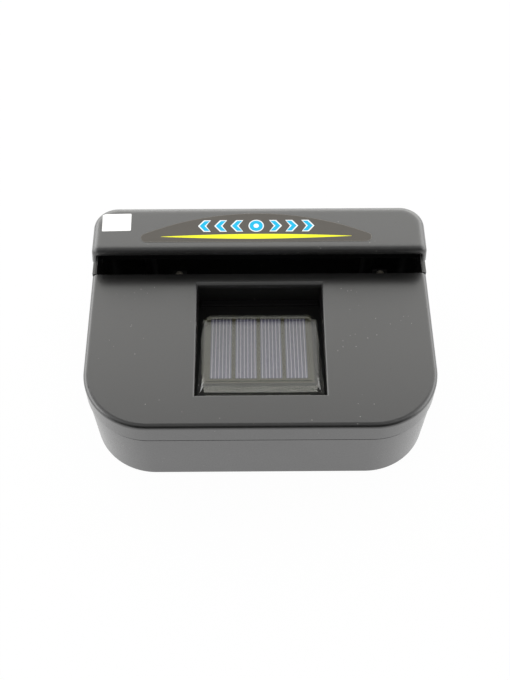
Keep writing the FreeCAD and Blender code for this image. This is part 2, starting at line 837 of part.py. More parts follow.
# ---------------------------------------------------------------- solar panel
def lens_bevel_wedge(side):
    """What a side bevel takes off the lens: wide at the near end, narrow at the far end."""
    slope = lens_bevel_depth / lens_side_bevel
    sections = []
    for along, half, width in (
        (lens_start - 0.01, lens_near_width / 2, lens_side_bevel),
        (lens_end + 0.01, lens_far_width / 2, lens_far_bevel),
    ):
        inner = half - width
        outer = half + 2
        rise = 1.0
        corners = (
            (inner - rise / slope, rise),
            (outer, rise),
            (outer, -(outer - inner) * slope),
        )
        points = [V(side * x, along, z) for x, z in corners]
        sections.append(Part.makePolygon(points + [points[0]]))
    return Part.makeLoft(sections, True, True)


def solar_lens():
    near_half = lens_near_width / 2
    far_half = lens_far_width / 2
    corners = (
        (-near_half, lens_start), (near_half, lens_start), (far_half, lens_end), (-far_half, lens_end)
    )
    lens = polygon_prism(corners, -lens_thickness, 0)
    far_corners = edges_where(lens, lambda b: b.YMin > lens_end - 1e-3 and b.ZLength > lens_thickness / 2)
    lens = lens.makeFillet(lens_corner_radius, far_corners)
    rim = edges_where(lens, lambda b: b.ZMin > -1e-6 and b.YMax > lens_start + 1e-3)
    lens = lens.makeFillet(lens_far_round, rim)
    near_points = (
        V(-near_half - 1, lens_start - 0.01, -lens_bevel_depth),
        V(-near_half - 1, lens_start - 0.01, 1),
        V(-near_half - 1, lens_start + lens_near_bevel * (1 + 1 / lens_bevel_depth), 1),
    )
    near_wedge = Part.Face(Part.makePolygon(list(near_points) + [near_points[0]]))
    near_wedge = near_wedge.extrude(V(2 * near_half + 2, 0, 0))
    lens = without(lens, [lens_bevel_wedge(-1), lens_bevel_wedge(1), near_wedge])
    margin = lens_pocket_margin
    pocket = box(
        cell_shift - cells_width / 2 - margin,
        cell_shift + cells_width / 2 + margin,
        cell_start - margin,
        cell_start + cell_length + board_far_margin / 2,
        -lens_thickness - 1,
        -lens_thickness + lens_pocket_depth,
    )
    return on_slope(lens.cut(pocket))


def cell_edges():
    """The left edge of each cell, in the panel's frame."""
    first = cell_shift - cells_width / 2
    return [first + i * cell_pitch for i in range(cell_count)]


def solar_cells():
    z0 = board_top
    return group(
        on_slope(
            box(x, x + cell_width, cell_start, cell_start + cell_length, z0, z0 + cell_thickness)
        )
        for x in cell_edges()
    )


def cell_fingers():
    z0 = board_top + cell_thickness
    pitch = cell_width / finger_count
    fingers = []
    for edge in cell_edges():
        for i in range(finger_count):
            x = edge + (i + 0.5) * pitch
            fingers.append(
                on_slope(
                    box(
                        x - finger_width / 2,
                        x + finger_width / 2,
                        cell_start,
                        cell_start + cell_length - ribbon_width,
                        z0,
                        z0 + finger_height,
                    )
                )
            )
    return group(fingers)


def cell_ribbons():
    """A tinned strip across the far end of each cell, which carries its current to the next."""
    z0 = board_top + cell_thickness
    y1 = cell_start + cell_length
    return group(
        on_slope(box(x, x + cell_width, y1 - ribbon_width, y1, z0, z0 + ribbon_height))
        for x in cell_edges()
    )


def board_corners():
    return (
        cell_shift - cells_width / 2 - board_margin,
        cell_shift + cells_width / 2 + board_margin,
        cell_start - board_margin,
        cell_start + cell_length + board_far_margin,
    )


def cell_board():
    x0, x1, y0, y1 = board_corners()
    return on_slope(box(x0, x1, y0, y1, board_top - board_thickness, board_top))


def panel_tray():
    half = window_width / 2 + tray_border
    slab = box(-half, half, 0, slope_length + tray_far_overhang, tray_bottom, board_top)
    rib_half = window_width / 2 - window_side_round - window_draft - tray_rib_height
    rib_end = slope_length - window_far_round - 1
    rib_start = window_length - tray_rib_border
    rib = box(-rib_half, rib_half, rib_start, rib_end, board_top - 0.5, board_top + tray_rib_height)
    slab = fused([slab, rib])
    x0, x1, y0, y1 = board_corners()
    fit = tray_gap
    pocket = box(x0 - fit, x1 + fit, y0 - fit, y1 + fit, board_top - board_thickness, 1)
    holes = [
        cylinder(x, along, tray_bottom - 1, 1, tray_screw_radius + screw_clearance)
        for x, along in tray_screws_local()
    ]
    holes += [
        cylinder(cell_shift + side * lead_spread, lead_place, tray_bottom - 1, 0, lead_hole_radius)
        for side in (-1, 1)
    ]
    return on_slope(without(slab, [pocket] + holes))


def tray_screws():
    return group(
        on_slope(
            round_screw(
                x, along, tray_bottom, tray_screw_head_radius, tray_screw_head_height,
                tray_screw_radius, tray_thickness + tray_screw_bite - 0.6, True,
            )
        )
        for x, along in tray_screws_local()
    )


# ---------------------------------------------------------------- blower casing
def scroll_radius(angle):
    """Inner radius of the spiral wall, by the angle in degrees round the fan's axis."""
    share = max(0.0, (angle - cutoff_angle) / (360.0 - cutoff_angle))
    return cutoff_radius + scroll_growth * share


def spiral_point(angle, extra, z):
    r = scroll_radius(angle) + extra
    a = math.radians(angle)
    return V(r * math.cos(a), wheel_y + r * math.sin(a), z)


def duct_sides():
    """The X places of the outlet duct's inner walls."""
    return cutoff_radius * math.cos(math.radians(cutoff_angle)), scroll_radius(360.0)


def scroll_prism(extra, z0, z1):
    """The casing's plan, moved outwards by extra: the spiral, then a straight duct towards +Y."""
    step = (360.0 - cutoff_angle) / (2 * scroll_steps)
    angles = [cutoff_angle + step * i for i in range(2 * scroll_steps + 1)]
    edges = []
    for i in range(scroll_steps):
        three = [spiral_point(angles[2 * i + k], extra, z0) for k in range(3)]
        edges.append(Part.Arc(*three).toShape())
    edges.append(Part.makeLine(edges[-1].Vertexes[-1].Point, edges[0].Vertexes[0].Point))
    spiral = Part.Face(Part.Wire(edges)).extrude(V(0, 0, z1 - z0))
    x0, x1 = duct_sides()
    duct = box(x0 - extra, x1 + extra, wheel_y, from_near(outlet_end), z0, z1)
    return fused([spiral, duct])


def duct_outer(z0, z1, gap):
    """The room that the outlet duct takes in the partition."""
    x0, x1 = duct_sides()
    y0 = from_near(partition_start) - 1
    grown = scroll_wall + gap
    return box(x0 - grown, x1 + grown, y0, y0 + partition_thickness + 2, z0, z1)


def scroll_casing():
    outer = scroll_prism(scroll_wall, scroll_start, scroll_top)
    inner = scroll_prism(0, scroll_start + scroll_wall, scroll_top + 1)
    y1 = from_near(outlet_end)
    x0, x1 = duct_sides()
    mouth = box(x0, x1, y1 - 2, y1 + 1, scroll_start + scroll_wall, scroll_top + 1)
    inlet = cylinder(0, wheel_y, scroll_start - 1, scroll_start + scroll_wall + 1, inlet_radius)
    lugs = []
    holes = []
    for x, y in lug_places():
        lug = cylinder(x, y, lug_base, lug_base + lug_height, lug_radius)
        lugs.append(lug.cut(inner))
        hole_radius = lug_screw_radius + screw_clearance
        holes.append(cylinder(x, y, lug_base - 1, lug_base + lug_height + 1, hole_radius))
    body = without(outer, [inner, mouth, inlet])
    boss_room = [
        cylinder(x, y, 0, lug_base, lug_radius + louvre_gap) for x, y in lug_places()
    ]
    return without(fused([without(body, boss_room)] + lugs), holes)


def scroll_lid_plate():
    """The casing's lid, with the sunken cup that holds the motor."""
    lid = scroll_prism(scroll_wall, scroll_top, scroll_top + scroll_lid)
    cup_outer = motor_radius + thread_clearance + motor_cup_wall
    cup_bottom = motor_base - motor_cup_floor
    cup = cylinder(0, wheel_y, cup_bottom, scroll_top + scroll_lid, cup_outer)
    room = cylinder(0, wheel_y, motor_base, scroll_top + scroll_lid + 1, motor_radius + thread_clearance)
    boss_hole = cylinder(0, wheel_y, cup_bottom - 1, motor_base + 1, motor_boss_radius + thread_clearance)
    screw_holes = [
        cylinder(x, y, cup_bottom - 1, motor_base + 1, motor_screw_radius + thread_clearance)
        for x, y in motor_screw_places()
    ]
    return without(fused([lid, cup]), [room, boss_hole] + screw_holes)


def inlet_seal():
    return tube(0, wheel_y, floor_thickness, scroll_start, seal_inner_radius + seal_width, seal_inner_radius)


# ---------------------------------------------------------------- fan wheel
def fan_blade():
    """One forward-curved blade: two arcs joined at the foot and the tip."""
    foot = wheel_inner_radius + blade_thickness / 2
    tip = wheel_radius - 0.2
    half = blade_thickness / 2

    def at(radius, degrees):
        a = math.radians(degrees)
        return V(radius * math.cos(a), wheel_y + radius * math.sin(a), 0)

    middle = (foot + tip) / 2
    lift = blade_sweep * 0.30
    inner_side = Part.Arc(
        at(foot, -math.degrees(half / foot)),
        at(middle, lift - math.degrees(half / middle)),
        at(tip, blade_sweep - math.degrees(half / tip)),
    ).toShape()
    outer_side = Part.Arc(
        at(foot, math.degrees(half / foot)),
        at(middle, lift + math.degrees(half / middle)),
        at(tip, blade_sweep + math.degrees(half / tip)),
    ).toShape()
    tip_edge = Part.makeLine(inner_side.Vertexes[-1].Point, outer_side.Vertexes[-1].Point)
    foot_edge = Part.makeLine(outer_side.Vertexes[0].Point, inner_side.Vertexes[0].Point)
    outline = Part.Wire(Part.__sortEdges__([inner_side, tip_edge, outer_side, foot_edge]))
    blade = Part.Face(outline).extrude(V(0, 0, wheel_height - wheel_ring))
    blade.translate(V(0, 0, wheel_start + wheel_ring / 2))
    return blade


def fan_wheel():
    back = tube(0, wheel_y, wheel_top - wheel_ring, wheel_top, wheel_radius, hub_cup_radius - hub_cup_wall)
    ring = tube(0, wheel_y, wheel_start, wheel_start + wheel_ring, wheel_radius, wheel_inner_radius)
    floor_z = wheel_top - hub_floor_drop
    cup = tube(0, wheel_y, floor_z, wheel_top, hub_cup_radius, hub_cup_radius - hub_cup_wall)
    hub_floor = cylinder(0, wheel_y, floor_z, floor_z + hub_cup_wall, hub_cup_radius - hub_cup_wall / 2)
    boss_base = floor_z + hub_cup_wall - hub_boss_length
    boss = cylinder(0, wheel_y, boss_base, floor_z + hub_cup_wall, hub_boss_radius)
    one = fan_blade()
    blades = []
    for i in range(blade_count):
        blade = one.copy()
        blade.rotate(V(0, wheel_y, 0), V(0, 0, 1), i * 360.0 / blade_count)
        blades.append(blade)
    wheel = fused([back, ring, cup, hub_floor, boss] + blades)
    return wheel.cut(cylinder(0, wheel_y, shaft_foot(), wheel_top + 1, shaft_radius))


def shaft_foot():
    """The shaft's free end, inside the hub's boss."""
    return wheel_top - hub_floor_drop + hub_cup_wall - hub_boss_length + 1.0


# ---------------------------------------------------------------- motor
def motor_screw_places():
    return [(0, wheel_y + side * motor_screw_circle) for side in (-1, 1)]


def motor_can():
    outer = cylinder(0, wheel_y, motor_base, cap_base, motor_radius)
    front = edges_where(outer, lambda b: b.ZMax < motor_base + 1e-6)
    outer = outer.makeFillet(can_wall, front)
    inner = cylinder(0, wheel_y, motor_base + can_wall, cap_base + 1, motor_radius - can_wall)
    boss = cylinder(0, wheel_y, motor_base - motor_boss_height, motor_base + can_wall, motor_boss_radius)
    bore = cylinder(
        0, wheel_y, motor_base - motor_boss_height - 1, motor_base + can_wall + 1,
        motor_boss_radius - motor_boss_wall,
    )
    holes = [
        cylinder(x, y, motor_base - 1, motor_base + can_wall + 0.5, motor_screw_radius)
        for x, y in motor_screw_places()
    ]
    return without(fused([outer.cut(inner), boss]), [bore] + holes)


def motor_end_cap():
    cap = cylinder(0, wheel_y, cap_base, motor_top, motor_radius)
    rim = edges_where(cap, lambda b: b.ZMin > motor_top - 1e-6)
    cap = cap.makeFillet(can_wall, rim)
    bore = cylinder(0, wheel_y, cap_base - 1, motor_top - 0.3, motor_boss_radius - motor_boss_wall)
    slits = []
    for x0, x1, y0, y1 in terminal_plans():
        slits.append(box(x0, x1, y0, y1, cap_base - 1, motor_top + 1))
    return without(cap, [bore] + slits)


def terminal_plans():
    plans = []
    for side in (-1, 1):
        x = side * terminal_spread
        plans.append(
            (x - terminal_thickness / 2, x + terminal_thickness / 2,
             wheel_y - terminal_width / 2, wheel_y + terminal_width / 2)
        )
    return plans


def motor_terminals():
    return group(
        box(x0, x1, y0, y1, cap_base, motor_top + terminal_height) for x0, x1, y0, y1 in terminal_plans()
    )


def motor_brushes():
    """Two leaf brushes that bear on the commutator, each on a foot under its terminal."""
    z1 = cap_base
    z0 = z1 - brush_width - 0.2
    brushes = []
    for side in (-1, 1):
        inner = commutator_radius + brush_gap
        x0, x1 = sorted((side * inner, side * (inner + brush_thickness)))
        leaf = box(x0, x1, wheel_y - brush_length / 2, wheel_y + brush_length / 2, z0, z0 + brush_width)
        f0, f1 = sorted((side * inner, side * (terminal_spread + terminal_thickness / 2)))
        end_y = wheel_y + side * (brush_length / 2 - terminal_width / 2)
        foot = box(f0, f1, end_y - terminal_width / 2, end_y + terminal_width / 2, z1 - 0.3, z1)
        neck = box(x0, x1, end_y - terminal_width / 2, end_y + terminal_width / 2, z0, z1)
        brushes.append(fused([leaf, foot, neck]))
    return group(brushes)


def motor_bushes():
    bore = shaft_radius + shaft_clearance
    outer = motor_boss_radius - motor_boss_wall
    front_z = motor_base - motor_boss_height
    front = tube(0, wheel_y, front_z, front_z + bush_length, outer, bore)
    rear = tube(0, wheel_y, cap_base, cap_base + rear_bush_length, outer, bore)
    return group([front, rear])


def arc_block(z0, z1, outer, inner, middle_angle, spread):
    """A piece of a tube, spread degrees wide."""
    block = Part.makeCylinder(outer, z1 - z0, V(0, 0, z0), V(0, 0, 1), spread)
    block = block.cut(Part.makeCylinder(inner, z1 - z0 + 2, V(0, 0, z0 - 1)))
    block.rotate(V(0, 0, 0), V(0, 0, 1), middle_angle - spread / 2)
    block.translate(V(0, wheel_y, 0))
    return block


def motor_magnets():
    z0 = motor_base + magnet_base
    outer = motor_radius - can_wall
    return group(
        arc_block(z0, z0 + magnet_height, outer, outer - magnet_thickness, angle, magnet_angle)
        for angle in (0, 180)
    )


def pole_angles():
    return [90 + i * 360.0 / pole_count for i in range(pole_count)]


def turned(shape, angle):
    copy = shape.copy()
    copy.rotate(V(0, wheel_y, 0), V(0, 0, 1), angle)
    return copy


def armature_core():
    z0 = motor_base + armature_base
    z1 = z0 + armature_height
    pieces = [cylinder(0, wheel_y, z0, z1, core_hub_radius)]
    arm = box(0, armature_radius - pole_shoe_depth / 2, wheel_y - pole_arm_width / 2,
              wheel_y + pole_arm_width / 2, z0, z1)
    for angle in pole_angles():
        pieces.append(turned(arm, angle))
        pieces.append(
            arc_block(z0, z1, armature_radius, armature_radius - pole_shoe_depth, angle, pole_shoe_angle)
        )
    return fused(pieces).cut(cylinder(0, wheel_y, z0 - 1, z1 + 1, shaft_radius))


def armature_coils():
    z0 = motor_base + armature_base - coil_build / 2
    z1 = motor_base + armature_base + armature_height + coil_build / 2
    half = pole_arm_width / 2 + coil_build
    coil = box(coil_inner, coil_outer, wheel_y - half, wheel_y + half, z0, z1)
    arm = box(0, armature_radius, wheel_y - pole_arm_width / 2, wheel_y + pole_arm_width / 2,
              motor_base + armature_base, motor_base + armature_base + armature_height)
    long_edges = edges_where(coil, lambda b: b.XLength > (coil_outer - coil_inner) / 2)
    coil = coil.makeFillet(coil_build * 0.4, long_edges).cut(arm)
    return group(turned(coil, angle) for angle in pole_angles())


def commutator():
    z0 = cap_base - 0.2 - commutator_length
    return tube(0, wheel_y, z0, z0 + commutator_length, commutator_radius, shaft_radius)


def motor_shaft():
    return cylinder(0, wheel_y, shaft_foot(), cap_base + rear_bush_length - 0.1, shaft_radius)


def motor_screws():
    seat = motor_base - motor_cup_floor
    return group(
        round_screw(
            x, y, seat, motor_screw_head_radius, motor_screw_head_height,
            motor_screw_radius, motor_cup_floor + can_wall + 0.4, True,
        )
        for x, y in motor_screw_places()
    )


# ---------------------------------------------------------------- leads from the panel to the motor
def lead_route(side):
    """Points from the board's solder joint to the motor's terminal."""
    start = slope_point(cell_shift + side * lead_spread, lead_place, tray_bottom + board_thickness * 0.5)
    down = V(start.x, start.y, start.z - 4.6)
    across = V(side * (terminal_spread + 1.2), wheel_y + 5.4, motor_top + 3.2)
    end = V(side * terminal_spread, wheel_y + terminal_width / 2 + solder_height * 0.5, motor_top + 1.3)
    return [start, down, across, end]


def lead_tube(points, radius):
    """A round lead along straight runs that are joined by tangent arcs."""
    runs = [b.sub(a) for a, b in zip(points, points[1:])]
    path = []
    at = points[0]
    radii = []
    for i in range(1, len(points) - 1):
        before, after = V(runs[i - 1]), V(runs[i])
        short = min(before.Length, after.Length)
        before.normalize()
        after.normalize()
        turn = math.acos(max(-1.0, min(1.0, before.dot(after))))
        trim = 0.45 * short
        bend = trim / math.tan(turn / 2)
        radii.append(round(bend, 2))
        enter = points[i] - before * trim
        leave = points[i] + after * trim
        inward = (after - before)
        inward.normalize()
        centre = points[i] + inward * (bend / math.cos(turn / 2))
        middle = centre - inward * bend
        path.append(Part.makeLine(at, enter))
        path.append(Part.Arc(enter, middle, leave).toShape())
        at = leave
    path.append(Part.makeLine(at, points[-1]))
    wire = Part.Wire(path)
    section = Part.Wire([Part.makeCircle(radius, points[0], runs[0])])
    solid = wire.makePipeShell([section], True, True)
    share = solid.Volume / (math.pi * radius ** 2 * wire.Length)
    print("lead length", round(wire.Length, 1), "radii", radii, "volume share", round(share, 3))
    return solid


def solder_joints():
    blobs = []
    for side in (-1, 1):
        pad = cylinder(
            cell_shift + side * lead_spread, lead_place, board_top - board_thickness - solder_height,
            board_top - board_thickness, solder_radius,
        )
        foot = edges_where(pad, lambda b: b.ZMax < board_top - board_thickness - solder_height + 1e-6)
        pad = pad.makeFillet(solder_height * 0.5, foot)
        lead = lead_tube(lead_route(side), lead_radius)
        blobs.append(on_slope(pad).cut(lead))
        y = wheel_y + terminal_width / 2
        tab = cylinder(side * terminal_spread, y, motor_top + 0.6, motor_top + 2.0, solder_radius)
        x0, x1, y0, y1 = terminal_plans()[0 if side < 0 else 1]
        blade = box(x0, x1, y0, y1, motor_top, motor_top + terminal_height)
        blobs.append(tab.cut(blade).cut(lead))
    return group(blobs)


# ---------------------------------------------------------------- housing screws, labels
def case_screws():
    return group(
        round_screw(x, y, screw_seat, screw_head_radius, screw_head_height, screw_radius, screw_bite, True)
        for x, y in case_posts()
    )


def ear_screws():
    return group(
        round_screw(
            x, y, ear_top, ear_screw_head_radius, ear_screw_head_height,
            ear_screw_radius, ear_thickness + seam_gap + ear_screw_bite, False,
        )
        for x, y in ear_screw_places()
    )


def hood_screws():
    return group(
        round_screw(x, y, screw_seat, screw_head_radius, screw_head_height, screw_radius, screw_bite, True)
        for x, y in hood_posts()
    )


def scroll_screws():
    return group(
        round_screw(
            x, y, lug_base + lug_height, lug_screw_head_radius, lug_screw_head_height,
            lug_screw_radius, lug_height + lug_screw_bite - 0.5, False,
        )
        for x, y in lug_places()
    )


def hood_decal():
    """A film with a straight near side and an arched far side."""
    half = body_width / 2 - decal_side_border
    y1 = far_y - decal_border
    y0 = y1 - decal_length
    rise = decal_length - decal_end_length
    arch_radius = (half ** 2 + rise ** 2) / (2 * rise)
    film = plate(
        decal_shift - half, decal_shift + half, y0, y1 + 1,
        hood_top, hood_top + decal_thickness, decal_corner, decal_corner,
    )
    film = film.common(
        cylinder(decal_shift, y1 - arch_radius, hood_top, hood_top + decal_thickness, arch_radius)
    )
    shoulders = edges_where(
        film, lambda b: b.ZLength > decal_thickness / 2 and b.YMin > y0 + decal_corner + 0.1 and b.XLength < 1e-3
    )
    return film.makeFillet(decal_shoulder, shoulders)


def blank_label():
    """A thin sticker that follows the hood's rounded corner."""
    label = plate(
        -label_width / 2, label_width / 2, -label_length / 2, label_length / 2,
        slot_top, hood_top + 1, label_corner, label_corner,
    )
    label.rotate(V(0, 0, 0), V(0, 0, 1), label_turn)
    side_border, far_border = label_border
    label.translate(V(side_border - body_width / 2, far_y - far_border, 0))
    return label.common(hood_outer(label_thickness)).cut(hood_outer(0))


# ---------------------------------------------------------------- every node
NODES = {
    "rear_shell": rear_shell,
    "front_cover": front_cover,
    "hood": hood,
    "outlet_louvre": outlet_louvre,
    "solar_lens": solar_lens,
    "solar_cells": solar_cells,
    "cell_fingers": cell_fingers,
    "cell_ribbons": cell_ribbons,
    "cell_board": cell_board,
    "panel_tray": panel_tray,
    "tray_screws": tray_screws,
    "scroll_casing": scroll_casing,
    "scroll_lid": scroll_lid_plate,
    "scroll_screws": scroll_screws,
    "inlet_seal": inlet_seal,
    "fan_wheel": fan_wheel,
    "motor_can": motor_can,
    "motor_end_cap": motor_end_cap,
    "motor_terminals": motor_terminals,
    "motor_brushes": motor_brushes,
    "motor_bushes": motor_bushes,
    "motor_magnets": motor_magnets,
    "armature_core": armature_core,
    "armature_coils": armature_coils,
    "commutator": commutator,
    "motor_shaft": motor_shaft,
    "motor_screws": motor_screws,
    "lead_red": lambda: lead_tube(lead_route(1), lead_radius),
    "lead_black": lambda: lead_tube(lead_route(-1), lead_radius),
    "solder_joints": solder_joints,
    "case_screws": case_screws,
    "ear_screws": ear_screws,
    "hood_screws": hood_screws,
    "hood_decal": hood_decal,
    "blank_label": blank_label,
}

for name, make in NODES.items():
    shape = make()
    kind = "ok" if shape.isValid() else "NOT VALID"
    print(name, len(shape.Solids), "solids", round(sum(s.Volume for s in shape.Solids), 1), "mm3", kind)
    export(name, shape)
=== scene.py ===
# %% [markdown]
# # A solar ventilator for a car window
#
# This notebook dresses a finished model of a small black ventilator. It hangs inside a car's side window. A
# hood reaches over the glass, and a solar cell behind a clear lens drives a blower that sends warm air out
# under the hood.
#
# The shapes of the housing, lens, screws and motor come from the frame, which is a model in real units.
# What is missing is everything that makes plastic look like plastic and ink look like ink. So most cells
# below build one finish each, and a few cut the thin printed shapes on the hood.

# %% Load the frame
import math

import bmesh
import bpy
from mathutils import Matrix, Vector


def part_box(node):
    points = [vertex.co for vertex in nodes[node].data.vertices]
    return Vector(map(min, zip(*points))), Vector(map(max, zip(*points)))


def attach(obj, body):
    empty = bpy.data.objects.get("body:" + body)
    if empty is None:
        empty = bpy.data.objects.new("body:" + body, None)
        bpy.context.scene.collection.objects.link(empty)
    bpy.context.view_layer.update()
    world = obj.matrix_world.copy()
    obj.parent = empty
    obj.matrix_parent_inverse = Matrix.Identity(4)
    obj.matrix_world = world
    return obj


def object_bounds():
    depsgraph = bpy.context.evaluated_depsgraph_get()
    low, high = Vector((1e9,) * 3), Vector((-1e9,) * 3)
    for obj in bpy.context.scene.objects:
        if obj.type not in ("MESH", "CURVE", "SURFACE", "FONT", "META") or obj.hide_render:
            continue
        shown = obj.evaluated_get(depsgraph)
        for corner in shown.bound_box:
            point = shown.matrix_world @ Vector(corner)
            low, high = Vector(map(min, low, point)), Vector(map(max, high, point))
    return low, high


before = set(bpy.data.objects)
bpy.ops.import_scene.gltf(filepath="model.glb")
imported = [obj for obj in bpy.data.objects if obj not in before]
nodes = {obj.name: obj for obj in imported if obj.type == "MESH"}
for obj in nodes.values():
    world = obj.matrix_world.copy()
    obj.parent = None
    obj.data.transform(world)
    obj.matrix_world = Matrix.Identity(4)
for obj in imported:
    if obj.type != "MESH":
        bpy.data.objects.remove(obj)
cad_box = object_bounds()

print("the frame holds", len(nodes), "nodes, and its size is", [round(v, 4) for v in cad_box[1] - cad_box[0]])

# %% [markdown]
# ## The camera
#
# A camera that looks down at a small thing from close by shows strong perspective, so its distance matters
# as much as its angle. It stands a bit over half a metre away, a little left of the middle, and looks down
# at the front face. The small turn about Z is how the thing lies on its table. The lens is given for a film
# 36 mm high.

# %% Camera
MM = 0.001
CAMERA_PLACE = (-4.5 * MM, -295.2 * MM, 478.0 * MM)
CAMERA_PITCH = 33.48
CAMERA_YAW = -0.40
CAMERA_LENS = 55.72

camera = bpy.data.objects.new("camera", bpy.data.cameras.new("camera"))
bpy.context.scene.collection.objects.link(camera)
camera.location = CAMERA_PLACE
camera.rotation_euler = (math.radians(CAMERA_PITCH), 0, math.radians(CAMERA_YAW))
camera.data.lens = CAMERA_LENS
camera.data.sensor_width = 36
bpy.context.scene.camera = camera
bpy.context.scene.view_settings.view_transform = "Standard"
print("the camera stands", round(camera.location.length, 3), "m from the middle of the base")

# %% [markdown]
# ## Numbers that live in a shader
#
# A shader graph is arithmetic on values that change over a surface. Writing one node after another hides
# that arithmetic, so one small class wraps a socket and lets Python's own signs add the Math nodes. Then `1
# - mask * 0.2` reads as it would on paper. A second class holds one finish. Its `add` method makes any
# other node: the settings are set first, because they decide which sockets the node has, and then the
# sockets are filled.

# %% Shader arithmetic
class Level:
    """A socket that carries a number over a surface."""

    def __init__(self, finish, socket):
        self.finish = finish
        self.socket = socket

    def combine(self, operation, first, second):
        return self.finish.add("Math", {"operation": operation}, {0: first, 1: second})

    def __add__(self, other):
        return self.combine("ADD", self, other)

    def __radd__(self, other):
        return self.combine("ADD", other, self)

    def __sub__(self, other):
        return self.combine("SUBTRACT", self, other)

    def __rsub__(self, other):
        return self.combine("SUBTRACT", other, self)

    def __mul__(self, other):
        return self.combine("MULTIPLY", self, other)

    def __rmul__(self, other):
        return self.combine("MULTIPLY", other, self)

    def larger(self, other):
        return self.combine("MAXIMUM", self, other)

    def above(self, limit):
        return self.combine("GREATER_THAN", self, limit)

    def below(self, limit):
        return self.combine("LESS_THAN", self, limit)

    def step(self, low, high):
        """0 below low, 1 above high, and smooth between them."""
        settings = {"interpolation_type": "SMOOTHSTEP", "clamp": True}
        return self.finish.add("MapRange", settings, {"Value": self, "From Min": low, "From Max": high})


class Finish:
    """A material that is built one node at a time."""

    def __init__(self, name):
        self.material = bpy.data.materials.new(name)
        self.material.use_nodes = True
        self.tree = self.material.node_tree
        self.tree.nodes.clear()
        self.output = self.tree.nodes.new("ShaderNodeOutputMaterial")

    def fill(self, socket, value):
        if isinstance(value, Level):
            self.tree.links.new(value.socket, socket)
        elif hasattr(socket.default_value, "__len__"):
            full = list(value) + [1.0] * (len(socket.default_value) - len(value))
            socket.default_value = full
        else:
            socket.default_value = value

    def add(self, kind, settings=None, sockets=None, out=0):
        node = self.tree.nodes.new("ShaderNode" + kind)
        for key, value in (settings or {}).items():
            setattr(node, key, value)
        for key, value in (sockets or {}).items():
            self.fill(node.inputs[key], value)
        return Level(self, node.outputs[out])

    def place(self):
        return self.add("TexCoord", out="Object")

    def axis(self, vector, letter):
        return self.add("SeparateXYZ", None, {"Vector": vector}, out=letter)

    def noise(self, scale, detail=2.0, roughness=0.5, vector=None):
        sockets = {"Vector": vector or self.place(), "Scale": scale, "Detail": detail, "Roughness": roughness}
        return self.add("TexNoise", {"noise_dimensions": "3D"}, sockets, out="Fac")

    def cells(self, scale):
        """The distance to the nearest point of a random field."""
        sockets = {"Vector": self.place(), "Scale": scale}
        return self.add("TexVoronoi", {"feature": "F1"}, sockets, out="Distance")

    def specks(self, scale, size, patch_scale, low, high):
        """Small dots that lie in patches: 1 on a dot, 0 elsewhere."""
        return self.cells(scale).below(size) * self.noise(patch_scale, 1.0).step(low, high)

    def mix(self, share, first, second):
        """A colour between two colours."""
        return self.add("Mix", {"data_type": "RGBA"}, {"Factor": share, 6: first, 7: second}, out=2)

    def bump(self, height, strength, distance, normal=None):
        """A height over the surface, turned into a direction for the light."""
        sockets = {"Height": height, "Strength": strength, "Distance": distance}
        if normal:
            sockets["Normal"] = normal
        return self.add("Bump", None, sockets, out="Normal")

    def surface(self, **sockets):
        """The usual shader. Underscores in the names stand for spaces."""
        named = {key.replace("_", " "): value for key, value in sockets.items()}
        return self.add("BsdfPrincipled", None, named, out="BSDF")

    def done(self, shader):
        self.tree.links.new(shader.socket, self.output.inputs["Surface"])
        return self.material


reflected = [name for name in vars(Level) if name.startswith("__r")]
print("a Level also stands on the right of a number:", reflected)

# %% [markdown]
# ## Room, floor and lamps
#
# The real thing is black, yet it looks grey: satin plastic returns the light of a white room behind it, and
# where the hood hides that room the face turns truly black. So what counts here is what each surface
# mirrors.
#
# The room is white to the eye, in reflections and through clear plastic, and lights matt surfaces a little
# less. Light Path tells these rays apart, so the background gets its white without more light on the
# object. In reflections alone, three places are dark, as behind a camera: the ceiling, the front wall, and
# the floor far in front. They draw the dark lines along the rounded edges. The eye still sees white
# everywhere.

# %% Room
ROOM_LIGHT = 0.82               # how strongly the room lights matt surfaces, where 1 is white
WALL_TOP = (0.80, 0.98)         # the walls turn into the ceiling between these heights: 1 is straight up
CEILING = 0.28                  # how bright the ceiling is in reflections
FRONT_SIDE = (-0.85, -0.05)     # the dark front wall fades out between these: -1 is straight to the front
FRONT_TOP = (-0.10, 0.12)       # and starts between these heights
WHITE = (1, 1, 1)
BLACK = (0, 0, 0)


def seen_directly(finish):
    """1 for rays from the eye, from a reflection or through clear plastic."""
    names = ("Is Camera Ray", "Is Glossy Ray", "Is Transmission Ray")
    eye, mirrored, through = [finish.add("LightPath", out=name) for name in names]
    return (eye + mirrored + through).above(0.5)


world = bpy.data.worlds.new("room")
bpy.context.scene.world = world
world.use_nodes = True


class Room(Finish):
    """The same builder for the world's own graph."""

    def __init__(self, world):
        self.tree = world.node_tree
        self.tree.nodes.clear()
        self.output = self.tree.nodes.new("ShaderNodeOutputWorld")


room = Room(world)
way = room.add("TexCoord", out="Generated")
height = room.axis(way, "Z")
ceiling = height.step(*WALL_TOP) * (1 - CEILING)
front = (1 - room.axis(way, "Y").step(*FRONT_SIDE)) * height.step(*FRONT_TOP)
dark = ceiling.larger(front)
eye = room.add("LightPath", out="Is Camera Ray")
seen = 1 - dark * (1 - eye)
brightness = seen_directly(room) * (seen - ROOM_LIGHT) + ROOM_LIGHT
night = room.add("Background", None, {"Color": BLACK})
day = room.add("Background", None, {"Color": WHITE})
room_light = room.add("MixShader", None, {0: brightness, 1: night, 2: day})
room.tree.links.new(room_light.socket, room.output.inputs["Surface"])
print("the room's graph has", len(room.tree.nodes), "nodes")

